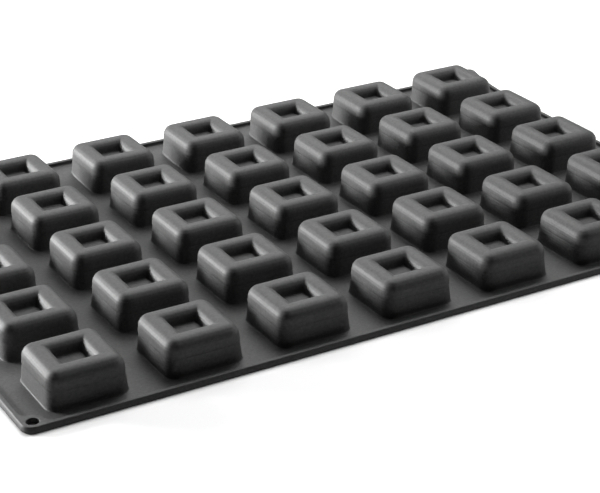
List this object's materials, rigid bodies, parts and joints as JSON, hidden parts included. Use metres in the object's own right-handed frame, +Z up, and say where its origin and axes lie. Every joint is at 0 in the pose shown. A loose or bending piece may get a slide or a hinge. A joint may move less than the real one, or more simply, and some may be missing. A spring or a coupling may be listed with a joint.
{
  "type": "silicone baking mould",
  "caption": "Dark silicone baking mould lying cups up: a rimmed sheet with a grid of square cups, each with a square recess in its top, and an eyelet at each corner.",
  "frame": {"origin": "middle of the footprint, on the surface that the mould lies on", "axes": "+X along the long side, +Y to the back, +Z up out of the cups' tops"},
  "size_m": [0.593, 0.384, 0.0272],
  "materials": {
    "silicone": "matte"
  },
  "bodies": {
    "root": {"cup_r1_c1": "silicone", "cup_r1_c2": "silicone", "cup_r1_c3": "silicone", "cup_r1_c4": "silicone", "cup_r1_c5": "silicone", "cup_r1_c6": "silicone", "cup_r1_c7": "silicone", "cup_r2_c1": "silicone", "cup_r2_c2": "silicone", "cup_r2_c3": "silicone", "cup_r2_c4": "silicone", "cup_r2_c5": "silicone", "cup_r2_c6": "silicone", "cup_r2_c7": "silicone", "cup_r3_c1": "silicone", "cup_r3_c2": "silicone", "cup_r3_c3": "silicone", "cup_r3_c4": "silicone", "cup_r3_c5": "silicone", "cup_r3_c6": "silicone", "cup_r3_c7": "silicone", "cup_r4_c1": "silicone", "cup_r4_c2": "silicone", "cup_r4_c3": "silicone", "cup_r4_c4": "silicone", "cup_r4_c5": "silicone", "cup_r4_c6": "silicone", "cup_r4_c7": "silicone", "cup_r5_c1": "silicone", "cup_r5_c2": "silicone", "cup_r5_c3": "silicone", "cup_r5_c4": "silicone", "cup_r5_c5": "silicone", "cup_r5_c6": "silicone", "cup_r5_c7": "silicone", "rim_front": "silicone", "rim_back": "silicone", "rim_left": "silicone", "rim_right": "silicone", "eyelet_front_left": "silicone", "eyelet_front_right": "silicone", "eyelet_back_right": "silicone", "eyelet_back_left": "silicone"}
  },
  "joints": []
}
